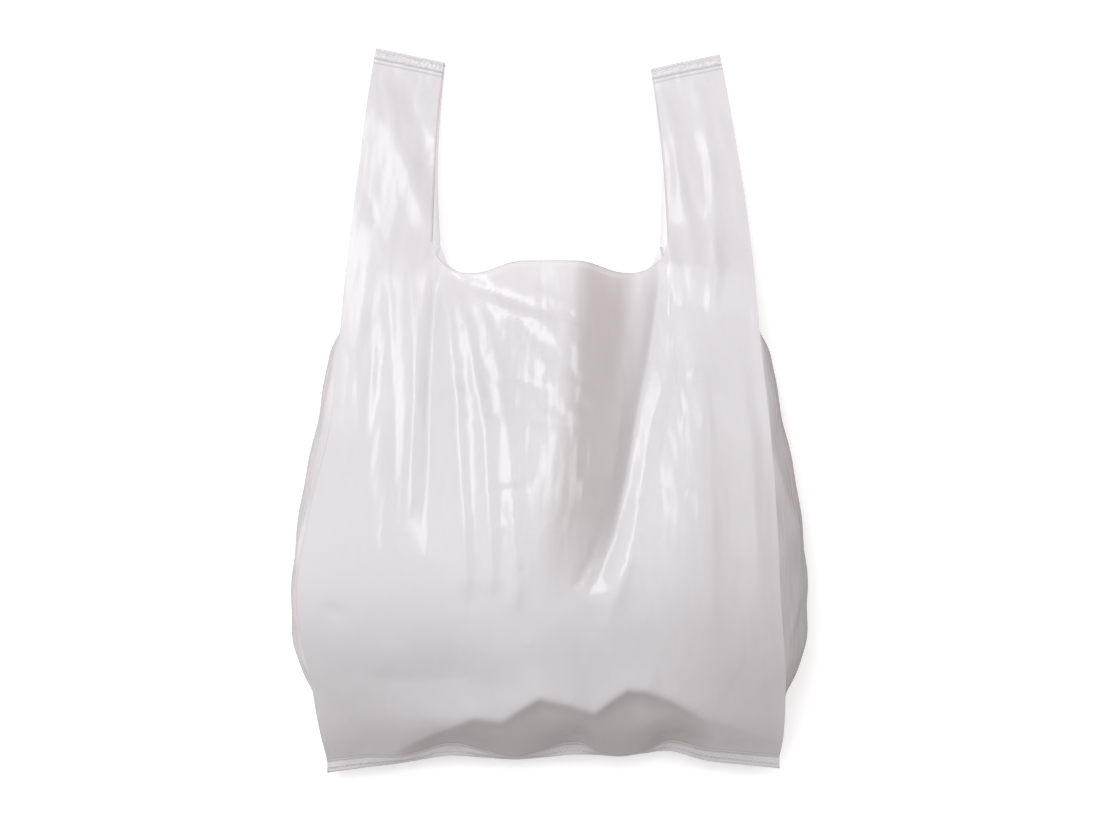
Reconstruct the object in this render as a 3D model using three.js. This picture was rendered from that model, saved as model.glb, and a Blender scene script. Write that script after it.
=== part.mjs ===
// A thin plastic carrier bag of the vest kind, puffed open and lying on its back panel.
// Millimetres. +X runs across the bag, +Y from the bottom seal to the handles, and +Z up from
// the floor through the back panel to the front panel. The origin is the middle of the footprint.
//
// The bag is one gusseted tube of film. The tube lies flat with both sides folded in, is welded
// across the bottom and across the handle tops, and has its mouth cut out as a U through all the
// layers. The cut parts each gusset from its twin, so each handle opens as a loop of a front
// strap and a back strap. Here the flat tube's own coordinates, across and along the film, are
// carried onto the shape that it takes when it is full of air. The film is drawn as a skin with
// an outer and an inner face, and the skin's layers run together into one solid at each weld.

import * as THREE from 'three';

// The flat bag.
const PANEL_WIDTH = 300; // front and back panel, from fold to fold
const FILM_LENGTH = 515; // bottom cut to the handles' top cut
const GUSSET_DEPTH = 60; // how far each side is folded in
const STRAP_TOP = 49; // handle width at its seal
const STRAP_FOOT = 56; // handle width where the mouth's corner ends
const MOUTH_LOW = 356; // lowest level of the mouth's edge, beside its corners
const MOUTH_HUMP = 9; // how much higher the edge is in its middle
const MOUTH_CORNER = 32; // corner radius of the U
const SEAL_WIDTH = 9; // welded band across the bottom
const HANDLE_SEAL_WIDTH = 8; // welded band across each handle top

// The real film is 0.018 thick. It is drawn thick enough to be a solid.
const WALL = 0.6;
const LAYER_GAP = 2.2; // between a strap and the gusset film behind it
const SEALED_GAP = 0.9; // the same where the layers run into the weld
const GAP_REACH = 18; // how far in from a fold the gap between its two layers is full
const CLOSING_REACH = 50; // how far below the mouth the gussets start to close on the straps
const HANDLE_TIP = 0.15; // how far the handles' cross-lines tip toward the mouth
const TIP_REACH = 20; // how far up the strap the tip is full
const PANEL_DOME = 2.4; // how square the front panel's cross-section is
const BACK_DOME = 1.8; // how far the back panel's middle hangs below its folds

// The grid that the film is drawn on.
const BODY_ROWS = 15; // the first is the bottom weld
const HANDLE_ROWS = 6; // the last is the handle's weld
const ROW_SPREAD = 1.15; // over 1, the rows stand closer together near the bottom
const MOUTH_COLUMNS = 7; // from the centre line to the strap's inner line
const STRAP_COLUMNS = 4;

const HALF_PANEL = PANEL_WIDTH / 2;
const STRAP_LINE = HALF_PANEL - STRAP_FOOT;
const STRAP_START = MOUTH_LOW + MOUTH_CORNER;
const CREASE = HALF_PANEL - GUSSET_DEPTH;
const HANDLE_WELD = FILM_LENGTH - HANDLE_SEAL_WIDTH;
const WELD_ROW = BODY_ROWS + HANDLE_ROWS - 1; // where the handle's layers run together
const LAST_ROW = BODY_ROWS + HANDLE_ROWS;

// The puffed shape, level by level up the film. Each row gives the film's level, then where that
// level lies along Y, the half width at the folds, how far the front panel has slid sideways,
// the height of the front fold and of the front panel's middle, the half width at the strap's
// inner line, the gusset crease's half width and height, the height of the back fold, and how
// far the middle of the level runs ahead of its ends.
const LEVELS = [
  [0, -233, 147.3, 0, 20.7, 20.7, 92.6, 90, 20, 19.3, 9],
  [SEAL_WIDTH, -224, 147.4, 0, 22.4, 24.2, 92.6, 90, 20, 17.6, 9],
  [40, -206, 148, 0, 46, 54, 93, 118, 26, 8, 5],
  [90, -168, 148.5, -1, 74, 90, 93.4, 150, 36, 1.5, 2],
  [148, -116, 149.5, -7, 92, 110, 93.5, 162.5, 44, 1.5, 0],
  [206, -60, 144, -4, 90, 108, 90, 158.5, 46, 1.5, 0],
  [257, -10.5, 137, 0, 81, 98, 84, 149, 42, 1.5, 1],
  [309, 38.5, 132.5, 0, 66, 81, 78.5, 138, 36, 1.5, 4],
  [360, 86, 129.2, 0, 50, 60, 74, 112, 28, 1.5, 7],
  [412, 135, 125.5, 0, 34, 37, 72, 84, 22, 1.5, 7],
  [463, 183.5, 120, 0, 18, 19, 69.5, 80, 12, 1.5, 7],
  [HANDLE_WELD, 225, 113.2, 0, 4.6, 4.6, 65.4, 74, 1.5, 1.5, 7],
  [FILM_LENGTH, 233, 112, 0, 2.6, 2.6, 64.6, 73, 1.5, 1.4, 7],
];
const levels = new THREE.CubicInterpolant(
  LEVELS.map((row) => row[0]),
  LEVELS.flatMap((row) => row.slice(1)),
  LEVELS[0].length - 1,
);

function levelAt(along) {
  const [y, fold, slide, foldZ, crownZ, strapLine, creaseX, creaseZ, backZ, bow] = levels.evaluate(
    THREE.MathUtils.clamp(along, 0, FILM_LENGTH),
  );
  return { y, fold, slide, foldZ, crownZ, strapLine, creaseX, creaseZ, backZ, bow };
}

function strapWidth(along) {
  const climb = Math.max(0, along - STRAP_START) / (FILM_LENGTH - STRAP_START);
  return THREE.MathUtils.lerp(STRAP_FOOT, STRAP_TOP, climb);
}

// Where the U cut crosses the film, at a distance from the bag's centre line.
function mouthEdge(across) {
  const flat = STRAP_LINE - MOUTH_CORNER;
  if (across <= flat) {
    return MOUTH_LOW + MOUTH_HUMP * (0.5 + 0.5 * Math.cos((Math.PI * across) / flat));
  }
  const reach = Math.min(across, STRAP_LINE) - flat;
  return MOUTH_LOW + MOUTH_CORNER - Math.sqrt(MOUTH_CORNER ** 2 - reach ** 2);
}

// A point of the front or back panel. across is signed, from the centre line to the folds.
function panelPoint(isFront, across, along) {
  const level = levelAt(along);
  const reach = Math.abs(across);
  const strap = strapWidth(along);
  const intoStrap = THREE.MathUtils.clamp((HALF_PANEL - reach) / strap, 0, 1);
  const x =
    intoStrap < 1
      ? THREE.MathUtils.lerp(level.fold, level.strapLine, intoStrap)
      : (level.strapLine * reach) / (HALF_PANEL - strap);
  const dome = 1 - (reach / HALF_PANEL) ** PANEL_DOME;
  const tipping = THREE.MathUtils.smoothstep(along, MOUTH_LOW, STRAP_START + TIP_REACH);
  const tip = HANDLE_TIP * strap * tipping;
  const y = level.y + level.bow * (1 - (reach / HALF_PANEL) ** 2) - tip * intoStrap;
  const front = level.foldZ + (level.crownZ - level.foldZ) * dome;
  const back = Math.max(0, level.backZ - BACK_DOME * dome);
  const slide = isFront ? level.slide : 0;
  return new THREE.Vector3(Math.sign(across) * x + slide, y, isFront ? front : back);
}

// A point of a gusset half. In the body it spans from the panel's fold to the gusset's crease,
// rounding over both, and in the handle it lies against its strap.
function gussetPoint(isFront, across, along) {
  const side = Math.sign(across);
  const level = levelAt(along);
  const inward = HALF_PANEL - Math.abs(across);
  const fold = panelPoint(isFront, side * HALF_PANEL, along);
  const q = inward / GUSSET_DEPTH;
  const drop = 1 - (1 - q + Math.sqrt(1 - q ** 2)) / 2;
  const open = new THREE.Vector3(
    THREE.MathUtils.lerp(fold.x, side * level.creaseX, q),
    fold.y,
    THREE.MathUtils.lerp(fold.z, level.creaseZ, drop),
  );
  const weld = THREE.MathUtils.smoothstep(along, STRAP_START, HANDLE_WELD);
  const gap = THREE.MathUtils.lerp(LAYER_GAP, SEALED_GAP, weld);
  const folded = panelPoint(isFront, across, along);
  folded.z += (isFront ? -gap : gap) * Math.min(1, inward / GAP_REACH);
  return open.lerp(folded, THREE.MathUtils.smoothstep(along, MOUTH_LOW - CLOSING_REACH, STRAP_START));
}

// The level and the place across the film of one grid point. The body's rows follow the mouth's
// edge, and the handle's rows close up with the strap as it narrows.
function gridPoint(across, row) {
  const reach = Math.abs(across);
  if (row === 0) return { across, along: 0 };
  if (row <= BODY_ROWS) {
    const climb = ((row - 1) / (BODY_ROWS - 1)) ** ROW_SPREAD;
    return { across, along: THREE.MathUtils.lerp(SEAL_WIDTH, mouthEdge(reach), climb) };
  }
  const climb = (row - BODY_ROWS) / (HANDLE_ROWS - 1);
  const along = climb > 1 ? FILM_LENGTH : THREE.MathUtils.lerp(STRAP_START, HANDLE_WELD, climb);
  const narrowed = ((HALF_PANEL - reach) / STRAP_FOOT) * strapWidth(along);
  return { across: Math.sign(across) * (HALF_PANEL - narrowed), along };
}

// The film's middle surface as columns of points. A column is named by its layer and its place
// across the flat bag. A gusset shares its outer columns with the panels, and its two halves
// share the crease.
const half = [];
for (let i = 1; i < MOUTH_COLUMNS; i++) half.push((STRAP_LINE * i) / MOUTH_COLUMNS);
for (let i = 0; i <= STRAP_COLUMNS; i++) half.push(STRAP_LINE + (STRAP_FOOT * i) / STRAP_COLUMNS);
const panel = [...half.toReversed().map((reach) => -reach), 0, ...half];
const strap = half.slice(-STRAP_COLUMNS - 1).reverse();
const gusset = [...strap.slice(1), CREASE];

const points = [];
const columns = new Map();

function column(layer, across) {
  const reach = Math.abs(across);
  const place = reach < HALF_PANEL && layer.startsWith('gusset') ? gussetPoint : panelPoint;
  const owner = place === panelPoint ? layer.replace('gusset ', '') : layer;
  const name = `${reach === CREASE ? 'crease' : owner} ${across}`;
  if (!columns.has(name)) {
    const ids = [];
    for (let row = 0; row <= (reach < STRAP_LINE ? BODY_ROWS : LAST_ROW); row++) {
      const at = gridPoint(across, row);
      ids.push(points.push(place(layer.endsWith('front'), at.across, at.along)) - 1);
    }
    columns.set(name, ids);
  }
  return columns.get(name);
}

// Round the tube: the front panel, the right gusset, the back panel and the left gusset.
const ring = [
  ...panel.map((across) => ['front', across]),
  ...gusset.map((reach) => ['gusset front', reach]),
  ...gusset.slice(0, -1).reverse().map((reach) => ['gusset back', reach]),
  ...panel.toReversed().map((across) => ['back', across]),
  ...gusset.map((reach) => ['gusset back', -reach]),
  ...gusset.slice(0, -1).reverse().map((reach) => ['gusset front', -reach]),
];
for (const [layer, across] of ring) column(layer, across);

// The skin, as triangles over point numbers. Its outer face has the middle surface's own
// numbers, and its inner face has the same numbers with a shift.
const shift = points.length;
const triangles = [];
const edges = new Set();

function addTriangle(a, b, c) {
  if (a === b || b === c || c === a) return;
  triangles.push([a, b, c]);
  for (const edge of [`${a},${b}`, `${b},${c}`, `${c},${a}`]) edges.add(edge);
}

// Joins two rows of points by a strip that faces the same way as the triangles beside it.
function bridge(first, second) {
  const isTaken = (from, to) => edges.has(`${from},${to}`);
  const isTurned = first.some((id, i) => isTaken(id, first[i + 1]) || isTaken(second[i + 1], second[i]));
  for (let i = 0; i + 1 < first.length; i++) {
    const [a, b, c, d] = [first[i], first[i + 1], second[i + 1], second[i]];
    if (isTurned) {
      addTriangle(b, a, d);
      addTriangle(b, d, c);
    } else {
      addTriangle(a, b, c);
      addTriangle(a, c, d);
    }
  }
}

// The two faces of the film. Inside a weld only the outer faces of the two panels remain.
ring.forEach(([layer, across], i) => {
  const [nextLayer, nextAcross] = ring[(i + 1) % ring.length];
  const left = column(layer, across);
  const right = column(nextLayer, nextAcross);
  const isGusset = layer.startsWith('gusset') || nextLayer.startsWith('gusset');
  for (let row = 0; row + 1 < Math.min(left.length, right.length); row++) {
    const [a, b, c, d] = [left[row], right[row], right[row + 1], left[row + 1]];
    const isWelded = row === 0 || row >= WELD_ROW;
    if (!(isGusset && isWelded)) {
      addTriangle(a, b, c);
      addTriangle(a, c, d);
    }
    if (!isWelded) {
      addTriangle(a + shift, c + shift, b + shift);
      addTriangle(a + shift, d + shift, c + shift);
    }
  }
});

const inner = (ids) => ids.map((id) => id + shift);
const crossLine = (layer, places, row) => places.map((place) => column(layer, place)[row]);
const upLine = (layer, place, from, to) => column(layer, place).slice(from, to + 1);
const mouthPlaces = panel.filter((place) => Math.abs(place) <= STRAP_LINE);

// The cut edges: the mouth's rim, and the straps' inner edges.
for (const layer of ['front', 'back']) {
  const rim = crossLine(layer, mouthPlaces, BODY_ROWS);
  bridge(rim, inner(rim));
}
for (const side of [1, -1]) {
  for (const layer of ['front', 'gusset front', 'gusset back', 'back']) {
    const edge = upLine(layer, side * STRAP_LINE, BODY_ROWS, WELD_ROW);
    bridge(edge, inner(edge));
  }
  for (const layer of ['gusset front', 'gusset back']) {
    const edge = crossLine(layer, [side * STRAP_LINE, side * CREASE], BODY_ROWS);
    bridge(edge, inner(edge));
  }
}

// The bottom weld: its cut face and its ends, then the roots of the pockets between the layers.
bridge(crossLine('front', panel, 0), crossLine('back', panel, 0));
bridge(inner(crossLine('front', mouthPlaces, 1)), inner(crossLine('back', mouthPlaces, 1)));
for (const side of [1, -1]) {
  const strapPlaces = strap.map((reach) => side * reach);
  const gussetPlaces = [side * HALF_PANEL, ...gusset.map((reach) => side * reach)];
  bridge(upLine('front', side * HALF_PANEL, 0, 1), upLine('back', side * HALF_PANEL, 0, 1));
  bridge(crossLine('gusset front', gussetPlaces, 1), crossLine('gusset back', gussetPlaces, 1));
  for (const layer of ['front', 'back']) {
    bridge(inner(crossLine(layer, strapPlaces, 1)), inner(crossLine(`gusset ${layer}`, strapPlaces, 1)));
  }
  const creaseRoot = (layer) => [
    column(layer, side * STRAP_LINE)[1],
    ...crossLine(`gusset ${layer}`, [side * STRAP_LINE, side * CREASE], 1),
  ];
  bridge(inner(creaseRoot('front')), inner(creaseRoot('back')));
}

// A handle's weld: its cut face and its outer side, the roots of the pockets, and its inner side,
// where the eight edges of the four layers meet the cut face in one fan.
for (const side of [1, -1]) {
  const places = strap.map((reach) => side * reach);
  bridge(crossLine('front', places, LAST_ROW), crossLine('back', places, LAST_ROW));
  bridge(
    upLine('front', side * HALF_PANEL, WELD_ROW, LAST_ROW),
    upLine('back', side * HALF_PANEL, WELD_ROW, LAST_ROW),
  );
  bridge(crossLine('gusset front', places, WELD_ROW), crossLine('gusset back', places, WELD_ROW));
  for (const layer of ['front', 'back']) {
    bridge(inner(crossLine(layer, places, WELD_ROW)), inner(crossLine(`gusset ${layer}`, places, WELD_ROW)));
  }
  const [front, gussetFront, gussetBack, back] = ['front', 'gusset front', 'gusset back', 'back'].map(
    (layer) => column(layer, side * STRAP_LINE)[WELD_ROW],
  );
  const edge = [front, front + shift, gussetFront + shift, gussetFront, gussetBack, gussetBack + shift];
  edge.push(back + shift, back, column('back', side * STRAP_LINE)[LAST_ROW]);
  const tip = column('front', side * STRAP_LINE)[LAST_ROW];
  bridge(edge, edge.map(() => tip));
}

// The skin's wall: every point moves half of it outward, and its twin half of it inward.
const normals = points.map(() => new THREE.Vector3());
for (const [a, b, c] of triangles.filter((ids) => Math.max(...ids) < shift)) {
  const normal = new THREE.Triangle(points[a], points[b], points[c]).getNormal(new THREE.Vector3());
  for (const id of [a, b, c]) normals[id].add(normal);
}
const faces = [WALL / 2, -WALL / 2].flatMap((step) =>
  points.map((point, i) => point.clone().addScaledVector(normals[i].normalize(), step)),
);

// Points inside a weld belong to no triangle, so the geometry takes only those that are used.
const used = [...new Set(triangles.flat())];
const renumber = new Map(used.map((id, i) => [id, i]));
const film = new THREE.BufferGeometry();
film.setFromPoints(used.map((id) => faces[id]));
film.setIndex(triangles.flat().map((id) => renumber.get(id)));

// Onto the floor, with the middle of the footprint at the origin.
film.computeBoundingBox();
const middle = film.boundingBox.getCenter(new THREE.Vector3());
film.translate(-middle.x, -middle.y, -film.boundingBox.min.z);
film.computeVertexNormals();

const filmMaterial = new THREE.MeshStandardMaterial({ color: 0xe6e1e5, roughness: 0.32, metalness: 0 });
const carrierBag = new THREE.Mesh(film, filmMaterial);
carrierBag.name = 'film_bag';

const model = new THREE.Group();
model.add(carrierBag);
export default model;
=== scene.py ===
import math

import bpy
import numpy as np
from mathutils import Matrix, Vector


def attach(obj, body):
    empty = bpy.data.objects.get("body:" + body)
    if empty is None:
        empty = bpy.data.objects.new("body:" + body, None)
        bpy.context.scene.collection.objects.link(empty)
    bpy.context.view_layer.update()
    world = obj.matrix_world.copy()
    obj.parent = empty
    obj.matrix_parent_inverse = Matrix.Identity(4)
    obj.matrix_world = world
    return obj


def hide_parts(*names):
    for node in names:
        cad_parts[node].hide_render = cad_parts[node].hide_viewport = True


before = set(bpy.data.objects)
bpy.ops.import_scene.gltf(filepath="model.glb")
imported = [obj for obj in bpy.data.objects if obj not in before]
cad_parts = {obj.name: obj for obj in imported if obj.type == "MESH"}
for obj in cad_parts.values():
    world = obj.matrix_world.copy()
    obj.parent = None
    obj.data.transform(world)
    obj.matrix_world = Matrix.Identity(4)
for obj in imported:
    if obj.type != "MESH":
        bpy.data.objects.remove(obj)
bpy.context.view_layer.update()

# ---------------------------------------------------------------------------------------------
# The film: one blown tube of milky white polythene, 0.018 mm thick, folded in at both sides,
# welded across the bottom and the two handle tops, with the mouth cut out as a U. Here it is
# drawn in millimetres, from the flat tube's own coordinates, across and along the film.
# ---------------------------------------------------------------------------------------------
MM = 0.001
HALF_PANEL = 150
FILM_LENGTH = 515
GUSSET_DEPTH = 60
STRAP_TOP, STRAP_FOOT = 49, 56
MOUTH_LOW, MOUTH_HUMP, MOUTH_CORNER = 356, 8, 32
SEAL_WIDTH, HANDLE_SEAL_WIDTH = 8, 8
LAYER_GAP, SEALED_GAP = 2.0, 0.25
DRAWN_THICKNESS = 0.12

STRAP_LINE = HALF_PANEL - STRAP_FOOT
STRAP_START = MOUTH_LOW + MOUTH_CORNER
CREASE = HALF_PANEL - GUSSET_DEPTH
HANDLE_WELD = FILM_LENGTH - HANDLE_SEAL_WIDTH

# The puffed shape, level by level up the film: where the level lies along Y, the half width at
# the folds, how far the front panel has slid sideways, the height of the front fold and of the
# front panel's middle, the half width at the strap's inner line, the gusset crease's half width
# and height, the height of the back fold, and the lead of the level's middle over its ends.
LEVELS = np.array([
    [SEAL_WIDTH, -225, 146.2, 0, 20.6, 20.9, 92.6, 90, 20, 19.4, 0],
    [40, -206, 147.4, 0, 44, 56, 93, 120, 26, 8, 3],
    [90, -168, 148.5, -1, 72, 88, 93.4, 157, 36, 1.5, 2],
    [148, -116, 149.5, -7, 92, 110, 93.5, 163.5, 44, 1.5, 0],
    [206, -60, 144, -4, 90, 108, 90, 158.5, 46, 1.5, 0],
    [257, -10.5, 137, 0, 81, 98, 84, 149, 42, 1.5, 1],
    [309, 38.5, 133, 0, 66, 81, 78.5, 141, 36, 1.5, 4],
    [360, 86, 130, 0, 50, 60, 74, 130, 28, 1.5, 7],
    [412, 135, 125, 0, 34, 37, 73, 90, 22, 1.5, 7],
    [463, 183.5, 119.5, 0, 18, 19, 71, 80, 12, 1.5, 7],
    [HANDLE_WELD, 225, 114, 0, 3.4, 3.4, 67, 74, 1.8, 1.5, 7],
    [FILM_LENGTH, 233, 112.5, 0, 2.4, 2.4, 66, 73, 1.6, 1.4, 7],
])
LEVEL_SLOPES = np.gradient(LEVELS[:, 1:], LEVELS[:, 0], axis=0)
LEVEL_SLOPES[-1] = 0

# The bottom weld's line, from left to right: x, the y of the cut edge, and how far the welded
# strip tips down from lying flat, in degrees.
SEAL_LINE = np.array([
    [-150, -233.5, 5], [-120, -229.5, 20], [-97, -226.8, 50], [-84, -224.5, 40], [-68, -222, 12],
    [-45, -223.5, 50], [-23, -224.8, 72], [-6, -223.3, 50], [14, -221.3, 5], [29, -221.9, 72],
    [43, -222.9, 82], [58, -221, 75], [74, -219, 32], [97, -224.8, 15], [123, -227.8, 8],
    [150, -230.5, 4],
])


def smoothstep(value, low, high):
    t = np.clip((value - low) / (high - low), 0, 1)
    return t * t * (3 - 2 * t)


def smooth_line(at, marks, values, slopes):
    """A smooth curve through values at marks."""
    i = np.clip(np.searchsorted(marks, at, side="right") - 1, 0, len(marks) - 2)
    span = marks[i + 1] - marks[i]
    t = (np.clip(at, marks[0], marks[-1]) - marks[i]) / span
    t, span = t[..., None], span[..., None]
    return (
        (2 * t**3 - 3 * t**2 + 1) * values[i]
        + (t**3 - 2 * t**2 + t) * span * slopes[i]
        + (3 * t**2 - 2 * t**3) * values[i + 1]
        + (t**3 - t**2) * span * slopes[i + 1]
    )


def level_at(along):
    """The puffed shape's ten values at each level. The bottom weld has those of its top line."""
    return np.moveaxis(smooth_line(along, LEVELS[:, 0], LEVELS[:, 1:], LEVEL_SLOPES), -1, 0)


SEAL_SLOPES = np.gradient(SEAL_LINE[:, 1:], SEAL_LINE[:, 0], axis=0)
SEAL_TOP_Y = -225
STEEPEST_TIP = 85


def settle_on_seal(points, along):
    """Bends the lowest levels onto the buckled line of the bottom weld."""
    x = points[..., 0]
    cut, tip = np.moveaxis(smooth_line(x, SEAL_LINE[:, 0], SEAL_LINE[:, 1:], SEAL_SLOPES), -1, 0)
    tip = np.radians(np.clip(tip, 0, STEEPEST_TIP))
    top = cut + SEAL_WIDTH * np.cos(tip)
    raised = 4 * np.sin(tip)
    below = np.maximum(0, SEAL_WIDTH - along)
    hold = 1 - smoothstep(along, SEAL_WIDTH, 62)
    points[..., 1] += (top - SEAL_TOP_Y) * hold - below * np.cos(tip)
    points[..., 2] += raised * hold - below * np.sin(tip)
    points[..., 0] += 2.2 * (1 - smoothstep(along, SEAL_WIDTH, 90))
    points[..., 0] -= 1.3 * smoothstep(along, 400, FILM_LENGTH)
    return points


def strap_width(along):
    climb = np.clip((along - STRAP_START) / (FILM_LENGTH - STRAP_START), 0, 1)
    return STRAP_FOOT + (STRAP_TOP - STRAP_FOOT) * climb


def mouth_edge(reach):
    """The level at which the U cut crosses the film, at a distance from the centre line."""
    flat = STRAP_LINE - MOUTH_CORNER
    hump = MOUTH_LOW + MOUTH_HUMP * (1 - smoothstep(reach, 22, 58))
    into = np.clip(reach - flat, 0, MOUTH_CORNER)
    corner = MOUTH_LOW + MOUTH_CORNER - np.sqrt(MOUTH_CORNER**2 - into**2)
    return np.where(reach <= flat, hump, corner)


# Folds of the front panel, in the plan of the lying bag. Each is a ridge, or with a negative
# height a groove: points (x, y, height, half width on its left, half width on its right).
FOLDS = {
    "pleat below the left corner": [(-68, 96, 0, 5, 4), (-72, 75, -3.4, 5, 4),
                                    (-75, 20, -4.2, 7, 4), (-75, -40, -3, 8, 5),
                                    (-77, -85, 0, 8, 6)],
    "fan 1": [(-69, 92, 0, 4, 6), (-64, 60, 2.8, 5, 8), (-58, 0, 3.4, 6, 9), (-53, -60, 3.2, 6, 9),
              (-51, -104, 2.4, 5, 7), (-50, -116, 0, 3, 4)],
    "fan 2": [(-63, 88, 0, 4, 6), (-51, 50, 2.4, 5, 8), (-40, -10, 3.0, 5, 9),
              (-36, -70, 3.0, 5, 9), (-35, -102, 2.4, 5, 7), (-34, -112, 0, 3, 4)],
    "fan 3": [(-50, 78, 0, 4, 6), (-36, 45, 1.6, 5, 8), (-24, -20, 2.2, 6, 10),
              (-21, -80, 2.6, 6, 9), (-20, -110, 2.4, 5, 7), (-20, -122, 0, 3, 4)],
    "tuck under the mouth": [(-64, 88, 0, 3, 4), (-58, 85, -1.6, 3, 5), (-30, 73, -2.2, 3, 6),
                             (-7, 65, -1.6, 3, 5), (6, 60, 0, 2, 3)],
    "lip of the tuck": [(-56, 80, 0, 4, 3), (-30, 66, 1.8, 6, 4), (-8, 57, 1.4, 5, 3),
                        (12, 54, 0.8, 3, 2), (22, 62, 0, 2, 2)],
    "crinkle": [(-9, 56, 0, 2, 2), (-3, 54.5, -0.9, 2, 2), (6, 55.5, -0.9, 2, 2), (13, 54, 0, 2, 2)],
    "short crease 1": [(-38, -46, 0, 2, 2), (-30, -47.5, -0.8, 2.5, 2.5),
                       (-20, -47, -0.8, 2.5, 2.5), (-12, -49, 0, 2, 2)],
    "short crease 2": [(-21, -95, 0, 2, 2), (-17, -96.5, -0.8, 2.5, 2.5), (-13, -96, 0, 2, 2)],
    "short crease 3": [(47, -53, 0, 2, 2), (52, -53.8, 0.8, 2.5, 2.5), (57, -53, 0, 2, 2)],
    "valley": [(72, 96, 0, 40, 9), (68, 70, -8, 42, 9), (62, 35, -11, 38, 8),
               (55, 0, -11.5, 34, 8), (48, -40, -10, 26, 8), (40, -75, -7.5, 17, 8),
               (30, -100, -3.5, 11, 7), (22, -112, 0, 7, 6)],
    "end of the valley": [(36, -60, 0, 8, 7), (26, -88, -2.5, 8, 6), (17, -104, -2, 6, 4),
                          (13, -108, 0, 4, 4)],
    "ridge beside the valley": [(80, 44, 0, 8, 14), (72, 22, 2, 7, 14), (63, -5, 3, 6, 15),
                                (56, -45, 3.6, 6, 15), (48, -90, 3.2, 6, 13), (38, -120, 2, 7, 12),
                                (31, -138, 0, 8, 12)],
    "left shoulder 1": [(-106, 108, 0, 6, 6), (-100, 60, 1.4, 6, 5), (-96, 0, 1.8, 6, 4),
                        (-95, -60, 1.2, 6, 5), (-97, -95, 0, 6, 6)],
    "left shoulder 2": [(-92, 110, 0, 5, 5), (-87, 70, 1.6, 5, 4), (-84, 10, 1.8, 5, 3),
                        (-85, -50, 1.2, 5, 4), (-88, -78, 0, 5, 5)],
    "left handle's sweep": [(-112, 226, 0, 6, 12), (-104, 200, 1.8, 7, 13), (-92, 160, 2.2, 7, 12),
                            (-81, 125, 1.6, 7, 9), (-76, 105, 0, 6, 6)],
    "left handle's hollow": [(-100, 226, 0, 6, 8), (-88, 195, -1.4, 6, 7), (-80, 165, -1.6, 5, 6),
                             (-74, 135, 0, 5, 5)],
    "right handle 1": [(70, 224, 0, 6, 8), (77, 190, 2.0, 6, 8), (84, 150, 2.4, 7, 8),
                       (90, 105, 1.8, 7, 8), (94, 70, 0, 7, 8)],
    "right handle 2": [(96, 226, 0, 6, 7), (101, 180, 2.0, 6, 7), (106, 130, 2.2, 6, 8),
                       (104, 80, 2.0, 6, 7), (100, 52, 0, 5, 6)],
    "nick": [(86, 27, 0, 2, 2), (89, 26, 1.0, 2.2, 2.2), (92, 25.5, 0, 2, 2)],
    "low dent": [(-120, -128, 0, 10, 8), (-134, -122, -1.6, 6, 5), (-142, -118, 0, 5, 5)],
    "sag at the lower left": [(-132, -158, 0, 16, 14), (-100, -166, -2.6, 16, 14),
                              (-60, -163, -2.4, 16, 14), (-25, -170, 0, 14, 12)],
    "hills over the bottom weld": [(-99, -216, 0, 8, 4), (-74, -203, 4, 14, 4),
                                   (-48, -191, 6, 16, 5), (-30, -193, 6, 16, 5),
                                   (-18, -184, 7, 16, 5), (-7, -177, 8, 18, 5),
                                   (12, -181, 7.5, 18, 5), (28, -187, 6.5, 16, 4),
                                   (38, -178, 7.5, 18, 5), (48, -171, 8.5, 20, 5),
                                   (60, -172, 8.5, 20, 5), (76, -178, 7.5, 18, 5),
                                   (101, -193, 5, 16, 5), (142, -209, 0, 12, 4)],
    "right of the body": [(92, 60, 0, 10, 14), (96, 10, 2.4, 9, 16), (98, -60, 2.8, 9, 18),
                          (100, -110, 1.6, 10, 16), (100, -140, 0, 10, 14)],
    "by the right fold": [(118, 40, 0, 8, 8), (124, -20, 1.8, 8, 9), (128, -90, 1.8, 8, 9),
                          (130, -140, 0, 8, 8)],
    "spur at the left buckle": [(-70, -214, 0, 6, 6), (-62, -204, 3, 7, 7), (-52, -194, 0, 8, 8)],
    "spur at the middle buckle": [(14, -213, 0, 6, 6), (8, -200, 3.5, 7, 7), (-2, -184, 0, 8, 8)],
    "spur at the right buckle": [(72, -211, 0, 6, 6), (62, -196, 3.5, 8, 8), (52, -180, 0, 8, 8)],
}

# Small creases are strewn over parts of the panel: how many, the part's lowest and highest
# corner, their heading from +Y in degrees and its spread, and their lengths, half widths, heights.
STREWN = {
    "left shoulder": (24, (-122, -90), (-76, 112), 4, 5, (50, 150), (2.2, 4.5), (-0.8, 1.0)),
    "fan": (12, (-66, -105), (-10, 60), -10, 3, (70, 140), (3, 5), (-0.5, 0.6)),
    "crumple": (34, (-58, -8), (20, 76), -55, 40, (12, 40), (2.2, 4.5), (-0.7, 0.7)),
    "right shoulder": (9, (70, -90), (126, 110), -6, 6, (60, 160), (6, 10), (-0.5, 0.6)),
    "left handle": (14, (-116, 110), (-72, 222), -8, 14, (25, 90), (2, 4.2), (-0.6, 0.7)),
    "left handle's inner edge": (14, (-84, 140), (-70, 218), 20, 60, (5, 18), (1.4, 2.4), (-0.5, 0.5)),
    "right handle": (20, (68, 100), (114, 222), -8, 8, (30, 100), (2.4, 5), (-1.0, 1.1)),
    "lower body": (22, (-135, -190), (135, -105), 60, 60, (30, 80), (8, 16), (-0.8, 0.8)),
    "crinkles": (110, (-130, -110), (130, 110), 75, 80, (4, 15), (1.3, 2.2), (-0.25, 0.25)),
}
chance = np.random.default_rng(11)


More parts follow.
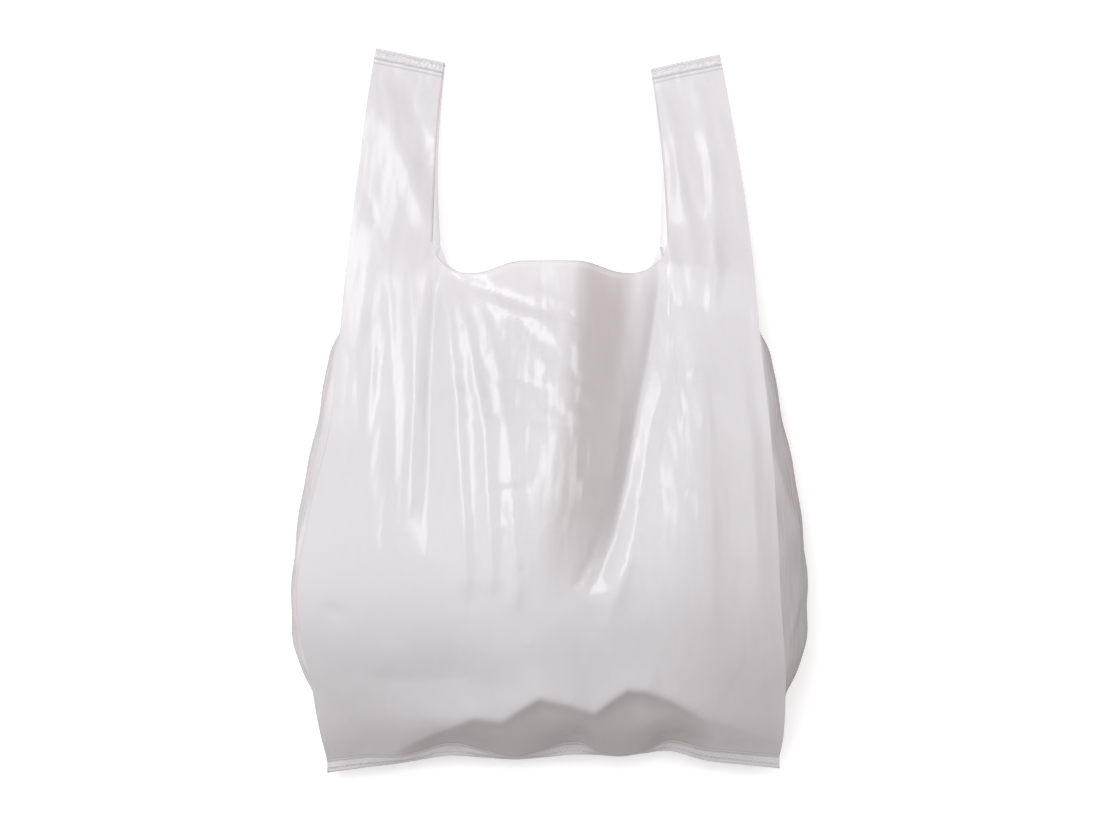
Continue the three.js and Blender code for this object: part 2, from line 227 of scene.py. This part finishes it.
def strewn_folds(count, low, high, heading, spread, lengths, widths, heights):
    for _ in range(count):
        middle = chance.uniform(low, high)
        turn = math.radians(heading + chance.uniform(-spread, spread))
        run = np.array([math.sin(turn), math.cos(turn)]) * chance.uniform(*lengths) / 2
        bow = np.array([run[1], -run[0]]) * chance.uniform(-0.12, 0.12)
        width, height = chance.uniform(*widths), chance.uniform(*heights)
        yield [(*(middle - run), 0, width, width), (*(middle - 0.4 * run + bow), height, width, width),
               (*(middle + 0.4 * run + bow), height, width, width), (*(middle + run), 0, width, width)]


def fold_height(x, y, points):
    """The height of one fold over the panel: it runs along its points and fades to its sides."""
    best = np.full(x.shape, np.inf)
    height = np.zeros(x.shape)
    for (x0, y0, *start), (x1, y1, *end) in zip(points, points[1:]):
        dx, dy = x1 - x0, y1 - y0
        t = np.clip(((x - x0) * dx + (y - y0) * dy) / (dx * dx + dy * dy), 0, 1)
        away = np.hypot(x - x0 - t * dx, y - y0 - t * dy)
        side = dx * (y - y0) - dy * (x - x0) > 0
        h, left, right = (a + (b - a) * t for a, b in zip(start, end))
        q = away / np.where(side, left, right)
        nearer = away < best
        best = np.where(nearer, away, best)
        height = np.where(nearer, h * np.exp(0.35 - np.sqrt(0.1225 + 1.6 * q * q)), height)
    return height


relief = list(FOLDS.values())
for strewn in STREWN.values():
    relief += strewn_folds(*strewn)


# The back of each handle peeps out beside its front near the mouth, and each handle's top drops
# from its outer corner to its inner one by a share of the strap's width.
PEEP, BACK_TUCK, FRONT_TUCK = 2.8, 1.0, 1.5
STRAP_DROP, OUTER_RISE = 0.27, 0.25
DOME_POWER, BACK_SAG = 2.4, 1.8


def panel_points(is_front, across, along):
    """Points of the front or back panel. across is signed, from the centre line to the folds."""
    y, fold, slide, fold_z, crown_z, strap_line, _, _, back_z, lead = level_at(along)
    reach = np.abs(across)
    strap = strap_width(along)
    peep = PEEP * (1 - smoothstep(along, STRAP_START - 10, 445)) - BACK_TUCK
    outward = FRONT_TUCK if is_front else -peep
    strap_line = strap_line + outward * smoothstep(along, MOUTH_LOW - 60, STRAP_START)
    into = np.clip((HALF_PANEL - reach) / strap, 0, 1)
    x = np.where(into < 1, fold + (strap_line - fold) * into, strap_line * reach / (HALF_PANEL - strap))
    x = np.sign(across) * x
    dome = 1 - (reach / HALF_PANEL) ** DOME_POWER
    drop = STRAP_DROP * strap * smoothstep(along, MOUTH_LOW, STRAP_START + 20)
    y = y + lead * (1 - (reach / HALF_PANEL) ** 2) + drop * (OUTER_RISE - into)
    y = y - 2 * np.sign(across) * smoothstep(along, MOUTH_LOW, FILM_LENGTH)
    if not is_front:
        return np.stack([x, y, np.maximum(0.3, back_z - BACK_SAG * dome)], -1)
    return np.stack([x + slide, y, fold_z + (crown_z - fold_z) * dome], -1)


def gusset_points(is_front, across, along):
    """Points of a gusset half: open in the body, and folded against its strap in the handle."""
    side = np.sign(across)
    _, _, _, _, _, _, crease_x, crease_z, _, _ = level_at(along)
    inward = HALF_PANEL - np.abs(across)
    fold = panel_points(is_front, side * HALF_PANEL, along)
    q = inward / GUSSET_DEPTH
    drop = 1 - (1 - q + np.sqrt(1 - q**2)) / 2
    open_x = fold[..., 0] + (side * crease_x - fold[..., 0]) * q
    open_z = fold[..., 2] + (crease_z - fold[..., 2]) * drop
    opened = np.stack([open_x, fold[..., 1], open_z], -1)
    gap = LAYER_GAP + (SEALED_GAP - LAYER_GAP) * smoothstep(along, STRAP_START, HANDLE_WELD)
    folded = panel_points(is_front, across, along)
    folded[..., 2] += (-gap if is_front else gap) * np.minimum(1, 3 * inward / STRAP_FOOT)
    blend = smoothstep(along, MOUTH_LOW - 50, STRAP_START)[..., None]
    return opened + (folded - opened) * blend


# The grid round the tube. The front panel is drawn finest. Every column has the same rows, so
# that the panels and the gussets meet point to point at the folds.
BODY_ROWS, HANDLE_ROWS = 156, 52
FINE = {"mouth": 46, "strap": 27}
PLAIN = {"mouth": 14, "strap": 10}


def half_columns(counts):
    mouth = np.linspace(0, STRAP_LINE, counts["mouth"] + 1)[:-1]
    return np.concatenate([mouth, np.linspace(STRAP_LINE, HALF_PANEL, counts["strap"] + 1)])


def mirrored(half):
    return np.concatenate([-half[:0:-1], half])


gusset_half = np.append(np.linspace(HALF_PANEL, STRAP_LINE, 15)[1:], [92, CREASE])
ring = [("front", a) for a in mirrored(half_columns(FINE))]
ring += [("gusset front", a) for a in gusset_half]
ring += [("gusset back", a) for a in gusset_half[-2::-1]]
ring += [("back", a) for a in -mirrored(half_columns(PLAIN))]
ring += [("gusset back", -a) for a in gusset_half]
ring += [("gusset front", -a) for a in gusset_half[-2::-1]]


def column_levels(across):
    """The levels of a column's rows, and where across the film each row is."""
    reach = abs(across)
    top = float(mouth_edge(np.array(reach)))
    seal_rows = np.arange(0, SEAL_WIDTH, 2)
    body = SEAL_WIDTH + (top - SEAL_WIDTH) * np.linspace(0, 1, BODY_ROWS + 1 - len(seal_rows)) ** 1.05
    along = np.concatenate([seal_rows, body])
    if reach < STRAP_LINE - 1e-6:
        return along, np.full(along.shape, across)
    handle = np.linspace(STRAP_START, HANDLE_WELD, HANDLE_ROWS - 3)[1:]
    along = np.concatenate([along, handle, HANDLE_WELD + np.array([2, 4, 6, 8])])
    inward = (HALF_PANEL - reach) / STRAP_FOOT * strap_width(along)
    return along, math.copysign(1, across) * (HALF_PANEL - inward)


# Creases of the gussets, in plan: the ends of each press the gusset out or in.
GUSSET_FOLDS = [
    [(134, 0, 0, 4, 4), (138, -28, 1.6, 5, 3), (144, -48, 2, 5, 3), (151, -65, 2, 5, 3),
     (155, -81, 1.5, 5, 3), (156, -112, 1.5, 5, 3), (151, -133, 1.6, 4, 3), (147, -150, 0, 4, 4)],
    [(-146, -52, 0, 4, 4), (-149, -62, 1.4, 3, 4), (-154, -81, 1.6, 3, 4), (-157, -98, 1.2, 3, 4),
     (-159, -122, 1.4, 3, 5), (-154, -135, 1.6, 3, 5), (-149, -150, 1.4, 3, 5), (-146, -165, 0, 4, 4)],
    [(-131, 52, 0, 4, 4), (-136, 20, 1.5, 4, 4), (-143, -15, 1.3, 4, 4), (-150, -45, 0, 4, 4)],
    [(134, 50, 0, 4, 4), (139, 15, 1.2, 4, 4), (148, -20, 1.2, 4, 4), (157, -60, 0, 4, 4)],
]


points, flat, columns, layers = [], [], [], []
for layer, across in ring:
    along, places = column_levels(across)
    make = gusset_points if layer.startswith("gusset") else panel_points
    columns.append(np.arange(len(along)) + sum(len(p) for p in points))
    column = make(layer.endswith("front"), places, along)
    points.append(settle_on_seal(column, along))
    flat.append(np.stack([places, along], -1))
    layers += [layer] * len(along)
points, flat, layers = np.concatenate(points), np.concatenate(flat), np.array(layers)

is_front = layers == "front"
x, y, z = points.T
along = flat[:, 1]
calm = smoothstep(along, SEAL_WIDTH, 26) * (1 - smoothstep(along, HANDLE_WELD - 18, HANDLE_WELD))
edge = smoothstep(HALF_PANEL - np.abs(flat[:, 0]), 0, 7)
height = sum(fold_height(x, y, fold) for fold in relief)
curl = 1.3 * np.sin(x / 7.5 + 0.7) * (1 - smoothstep(mouth_edge(np.abs(flat[:, 0])) - along, 0, 26))
curl *= np.abs(flat[:, 0]) < STRAP_LINE
points[:, 2] += np.where(is_front, (height * edge + curl) * calm, 0)

is_strap_back = (layers == "gusset front") & (along > MOUTH_LOW - 50)
follow = smoothstep(along, MOUTH_LOW - 50, STRAP_START) * edge
points[:, 2] += np.where(is_strap_back, height * calm * follow, 0)

is_gusset = np.char.startswith(layers.astype(str), "gusset")
press = sum(fold_height(x, y, fold) for fold in GUSSET_FOLDS)
press = press + 0.8 * np.sin(along / 9 + z / 14) * np.sin(along / 23)
open_gusset = smoothstep(z, 12, 40) * (1 - smoothstep(along, MOUTH_LOW - 60, MOUTH_LOW))
points[:, 0] += np.where(is_gusset, np.sign(x) * press * open_gusset * edge, 0)

faces = []
for left, right in zip(columns, columns[1:] + columns[:1]):
    rows = min(len(left), len(right)) - 1
    corners = left[:rows], right[:rows], right[1:rows + 1], left[1:rows + 1]
    faces += np.stack([corners[0], corners[1], corners[2]], -1).tolist()
    faces += np.stack([corners[0], corners[2], corners[3]], -1).tolist()

mesh = bpy.data.meshes.new("film")
mesh.from_pydata((points * MM).tolist(), [], faces)
mesh.polygons.foreach_set("use_smooth", [True] * len(mesh.polygons))
ends = np.zeros(2 * len(mesh.edges), dtype=int)
mesh.edges.foreach_get("vertices", ends)
on_fold = np.abs(np.abs(flat[:, 0]) - HALF_PANEL) < 1e-6
sharp = mesh.attributes.new("sharp_edge", "BOOLEAN", "EDGE")
sharp.data.foreach_set("value", on_fold[ends].reshape(-1, 2).all(axis=1))
on_film = mesh.attributes.new("on_film", "FLOAT_VECTOR", "POINT")
on_film.data.foreach_set("vector", np.column_stack([flat, 0 * along]).ravel())

# Painted shade: the steep facets between the hills and the bottom weld are marked, so that the film's
# colour is made greyer there, for one layer over the hollow bag that faces down, away from the light.
hills = np.array(FOLDS["hills over the bottom weld"])
facets = smoothstep(np.interp(x, hills[:, 0], hills[:, 1]) - y, -2, 5)
facets *= 1 - smoothstep(np.abs(x), 85, 115)
facets *= is_front & (along > SEAL_WIDTH)
facet_painted_shade = mesh.attributes.new("facet_painted_shade", "FLOAT", "POINT")
facet_painted_shade.data.foreach_set("value", facets)

# Painted light: a faint glow on the backs of the handles, and on the left gusset in the body, stands in
# for light that comes through the straps.
in_handle = smoothstep(along, 330, 380)
is_left_gusset = (layers == "gusset front") & (x < 0)
through = np.where(np.char.endswith(layers, "back"), 0.3 * in_handle, 0)
through += np.where(is_left_gusset, 0.12 * (1 - in_handle), 0)
painted_through_glow = mesh.attributes.new("painted_through_glow", "FLOAT", "POINT")
painted_through_glow.data.foreach_set("value", through)

film = bpy.data.objects.new("film", mesh)
bpy.context.scene.collection.objects.link(film)

solidify = film.modifiers.new("thickness", "SOLIDIFY")
solidify.thickness = DRAWN_THICKNESS * MM
solidify.offset = 0

# Milky film with a soft gloss, seen faintly through. Its blowing left faint streaks along it, it
# is crumpled below the mouth's left corner, and the welding bars left a knurled band and two
# pressed lines at each weld.
white_film = bpy.data.materials.new("white_film")
white_film.use_nodes = True
nodes, links = white_film.node_tree.nodes, white_film.node_tree.links
shader = nodes["Principled BSDF"]
shader.inputs["IOR"].default_value = 1.5
shader.inputs["Alpha"].default_value = 0.62


def add(kind, inputs=(), **settings):
    """A node of white_film. Each input is a value or another node's output."""
    node = nodes.new("ShaderNode" + kind)
    for name, value in settings.items():
        setattr(node, name, value)
    for socket, value in dict(inputs).items():
        if isinstance(value, bpy.types.NodeSocket):
            links.new(value, node.inputs[socket])
        else:
            node.inputs[socket].default_value = value
    return node.outputs[0]


def math_node(operation, *values):
    return add("Math", {i: value for i, value in enumerate(values)}, operation=operation)


def fade(value, start, end, low=0.0, high=1.0, kind="LINEAR"):
    """Goes from low to high as the value goes from start to end."""
    limits = {"From Min": start, "From Max": end, "To Min": low, "To Max": high}
    return add("MapRange", {"Value": value, **limits}, interpolation_type=kind)


def blend(share, first, second):
    """A mix of two colours."""
    return add("Mix", {0: share, 6: first, 7: second}, data_type="RGBA").node.outputs[2]


def noise(scale, stretch, detail, **settings):
    """Noise on the film's own millimetres, stretched over (across, along)."""
    placed = add("VectorMath", {0: film_place, 1: (*stretch, 1)}, operation="MULTIPLY")
    return add("TexNoise", {"Vector": placed, "Scale": scale, "Detail": detail}, **settings)


film_place = add("Attribute", attribute_name="on_film").node.outputs["Vector"]
split = add("SeparateXYZ", {0: film_place}).node
place_across, place_along = split.outputs["X"], split.outputs["Y"]
place = add("TexCoord").node.outputs["Object"]

cloud = add("TexNoise", {"Vector": place, "Scale": 9.0, "Detail": 1.0})
streaks = noise(0.30, (1, 0.05), 1.0)
ripples = noise(0.11, (1, 0.3), 1.0)
crumple = noise(0.07, (1, 0.7), 3.0, noise_type="RIDGED_MULTIFRACTAL")

# The weld's knurled band runs along the cut edge, and the two lines beside it.
from_cut = math_node("MINIMUM", place_along, math_node("SUBTRACT", FILM_LENGTH, place_along))
in_weld = fade(from_cut, 6.2, 6.8, 1.0, 0.0)
zigzag = math_node("SUBTRACT", math_node("PINGPONG", place_across, 1.5), 0.75)
from_band = math_node("SUBTRACT", from_cut, 3.6)
from_rope = math_node("ABSOLUTE", math_node("SUBTRACT", from_band, zigzag))
rope = math_node("MULTIPLY", fade(from_rope, 0.2, 0.8, 1.0, 0.0), in_weld)
lumps = noise(0.42, (1, 0.8), 1.0)
from_row = math_node("ABSOLUTE", math_node("SUBTRACT", from_cut, 4.6))
in_row = fade(from_row, 1.0, 2.6, 1.3, 0.0)
first_line = math_node("ABSOLUTE", math_node("SUBTRACT", from_cut, 7.2))
second_line = math_node("ABSOLUTE", math_node("SUBTRACT", from_cut, 9.6))
pressed = fade(math_node("MINIMUM", first_line, second_line), 0.15, 0.6, 1.0, 0.0)

# The crumpled patch is strongest 24 mm left of the centre line, 302 mm up the film.
from_patch = add("VectorMath", {0: film_place, 1: (24.0, -302.0, 0.0)}, operation="ADD")
from_patch = add("VectorMath", {0: from_patch, 1: (1.0, 1.2, 1.0)}, operation="MULTIPLY")
from_patch = add("VectorMath", {0: from_patch}, operation="LENGTH").node.outputs["Value"]
crumpled = fade(from_patch, 25.0, 75.0, 1.5, 0.3, kind="SMOOTHSTEP")

emboss = math_node("MULTIPLY", streaks, 0.05)
emboss = math_node("ADD", emboss, math_node("MULTIPLY", ripples, 0.7))
emboss = math_node("ADD", emboss, math_node("MULTIPLY", crumple, crumpled))
emboss = math_node("ADD", emboss, math_node("MULTIPLY", lumps, in_row))
emboss = math_node("ADD", emboss, math_node("MULTIPLY", rope, 0.3))
emboss = math_node("SUBTRACT", emboss, math_node("MULTIPLY", pressed, 0.2))
bump = add("Bump", {"Height": emboss, "Strength": 1.0, "Distance": MM})
links.new(bump, shader.inputs["Normal"])

# Painted shade: the film's colour is made greyer in the valley, low on the body, down its right side,
# and on the facets over the bottom weld, for one layer over the hollow bag turned away from the light.
valley_line = math_node("MULTIPLY_ADD", place_along, 0.12, 1.0)
off_valley = math_node("ABSOLUTE", math_node("SUBTRACT", place_across, valley_line))
in_valley = fade(off_valley, 8.0, 34.0, 1.0, 0.0, kind="SMOOTHSTEP")
upper = fade(place_along, 120.0, 230.0, kind="SMOOTHSTEP")
low = fade(place_along, 70.0, 160.0, 0.08, 0.0, kind="SMOOTHSTEP")
right = fade(place_across, 80.0, 110.0, 0.0, 0.22)
below_mouth = fade(place_along, 230.0, 330.0, 1.0, 0.0)
above_corner = fade(place_along, 40.0, 90.0)
on_body = math_node("MULTIPLY", below_mouth, above_corner)
painted_shade_below_hills = add("Attribute", attribute_name="facet_painted_shade").node.outputs["Fac"]
# Apart from a faint random clouding of the film's own tone, everything in this mix is painted shade.
cloud_and_painted_shade = fade(cloud, 0.35, 0.7, 0.0, 0.2)
cloud_and_painted_shade = math_node("ADD", cloud_and_painted_shade, low)
cloud_and_painted_shade = math_node("ADD", cloud_and_painted_shade, math_node("MULTIPLY", right, on_body))
cloud_and_painted_shade = math_node("MAXIMUM", cloud_and_painted_shade, math_node("MULTIPLY", in_valley, upper))
cloud_and_painted_shade = math_node("MAXIMUM", cloud_and_painted_shade, math_node("MULTIPLY", painted_shade_below_hills, 0.75))

# Painted light at the welds: the knurls are painted lighter, a painted highlight for their glints,
# the whole band a little lighter against the bump's shade, and the pressed lines greyer, painted shade
# in their grooves.
painted_weld_highlight = math_node("MAXIMUM", math_node("MULTIPLY", rope, 0.9), math_node("MULTIPLY", in_weld, 0.15))
# The film's milky white, and the warm grey of its painted shade.
colour = blend(cloud_and_painted_shade, (0.82, 0.79, 0.822, 1), (0.56, 0.52, 0.525, 1))
colour = blend(painted_weld_highlight, colour, (0.95, 0.92, 0.94, 1))
colour = blend(math_node("MULTIPLY", pressed, 0.3), colour, (0.42, 0.40, 0.40, 1))
links.new(colour, shader.inputs["Base Color"])
gloss = fade(streaks, 0.3, 0.7, 0.16, 0.24)
links.new(gloss, shader.inputs["Roughness"])

# The painted glow: the film gives off a faint light on the backs of the handles and in the left gusset.
glow = add("Attribute", attribute_name="painted_through_glow").node.outputs["Fac"]
links.new(glow, shader.inputs["Emission Strength"])
shader.inputs["Emission Color"].default_value = (0.95, 0.93, 0.94, 1)
white_film.cycles.emission_sampling = "NONE"
film.data.materials.append(white_film)

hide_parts("film_bag")
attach(film, "root")

# ---------------------------------------------------------------------------------------------
# The floor: a plain white studio table.
# ---------------------------------------------------------------------------------------------
FLOOR_HALF, FLOOR_TOP = 6, -0.0005
floor_corners = [(-1, -1), (1, -1), (1, 1), (-1, 1)]
floor_mesh = bpy.data.meshes.new("floor")
floor_mesh.from_pydata([(a * FLOOR_HALF, b * FLOOR_HALF, FLOOR_TOP) for a, b in floor_corners], [],
                       [(0, 1, 2, 3)])
floor = bpy.data.objects.new("floor", floor_mesh)
bpy.context.scene.collection.objects.link(floor)
paint = bpy.data.materials.new("white_table")
paint.use_nodes = True
paint_shader = paint.node_tree.nodes["Principled BSDF"]
seen = paint.node_tree.nodes.new("ShaderNodeLightPath")
tint = paint.node_tree.nodes.new("ShaderNodeMix")
tint.data_type = "RGBA"
tint.inputs[6].default_value = (0.48, 0.44, 0.43, 1)
tint.inputs[7].default_value = (0.93, 0.93, 0.93, 1)
paint.node_tree.links.new(seen.outputs["Is Camera Ray"], tint.inputs[0])
paint.node_tree.links.new(tint.outputs[2], paint_shader.inputs["Base Color"])
floor_glow = paint.node_tree.nodes.new("ShaderNodeMath")
floor_glow.operation = "MULTIPLY"
floor_glow.inputs[1].default_value = 0.3
paint.node_tree.links.new(seen.outputs["Is Camera Ray"], floor_glow.inputs[0])
paint.node_tree.links.new(floor_glow.outputs[0], paint_shader.inputs["Emission Strength"])
paint_shader.inputs["Roughness"].default_value = 0.9
paint_shader.inputs["Emission Color"].default_value = (1, 1, 1, 1)
floor.data.materials.append(paint)

# ---------------------------------------------------------------------------------------------
# The light: one large softbox above the handles and to the left, and a weak one on the right, in a
# room that is bright at the upper left and dim and warm elsewhere.
# ---------------------------------------------------------------------------------------------
def softbox(name, place, target, size, power):
    light = bpy.data.lights.new(name, "AREA")
    light.shape = "RECTANGLE"
    light.size, light.size_y = size
    light.energy = power
    lamp = bpy.data.objects.new(name, light)
    bpy.context.scene.collection.objects.link(lamp)
    lamp.location = place
    lamp.rotation_euler = (Vector(target) - Vector(place)).to_track_quat("-Z", "Y").to_euler()


softbox("softbox", (-0.55, 1.2, 2.2), (0, 0, 0), (0.8, 1.9), 29)
softbox("fill", (0.9, 0.7, 1.5), (0, 0, 0), (1.0, 1.0), 5)
world = bpy.data.worlds.new("room")
bpy.context.scene.world = world
world.use_nodes = True
room, room_links = world.node_tree.nodes, world.node_tree.links
facing = room.new("ShaderNodeTexCoord")
toward = room.new("ShaderNodeVectorMath")
toward.operation = "DOT_PRODUCT"
toward.inputs[1].default_value = (-0.6, -0.1, 0.8)
ramp = room.new("ShaderNodeValToRGB")
ramp.color_ramp.elements[0].position = 0.45
ramp.color_ramp.elements[0].color = (0.42, 0.385, 0.38, 1)
ramp.color_ramp.elements[1].position = 1.0
ramp.color_ramp.elements[1].color = (1.0, 1.0, 1.0, 1)
shift = room.new("ShaderNodeMapRange")
shift.inputs["From Min"].default_value = -1
shift.inputs["From Max"].default_value = 1
room_links.new(facing.outputs["Generated"], toward.inputs[0])
room_links.new(toward.outputs["Value"], shift.inputs["Value"])
room_links.new(shift.outputs["Result"], ramp.inputs["Fac"])
room_links.new(ramp.outputs["Color"], room["Background"].inputs["Color"])
room["Background"].inputs["Strength"].default_value = 0.96
bpy.context.scene.view_settings.view_transform = "Standard"

# ---------------------------------------------------------------------------------------------
# The camera looks straight down on the bag, with the handles at the top of the picture.
# ---------------------------------------------------------------------------------------------
CAMERA_HEIGHT = 1.6
VIEW_WIDTH = 0.7205
camera_data = bpy.data.cameras.new("camera")
camera_data.sensor_width = 36
camera_data.lens = 36 * CAMERA_HEIGHT / VIEW_WIDTH
camera = bpy.data.objects.new("camera", camera_data)
bpy.context.scene.collection.objects.link(camera)
camera.location = (0, 0, CAMERA_HEIGHT)
bpy.context.scene.camera = camera
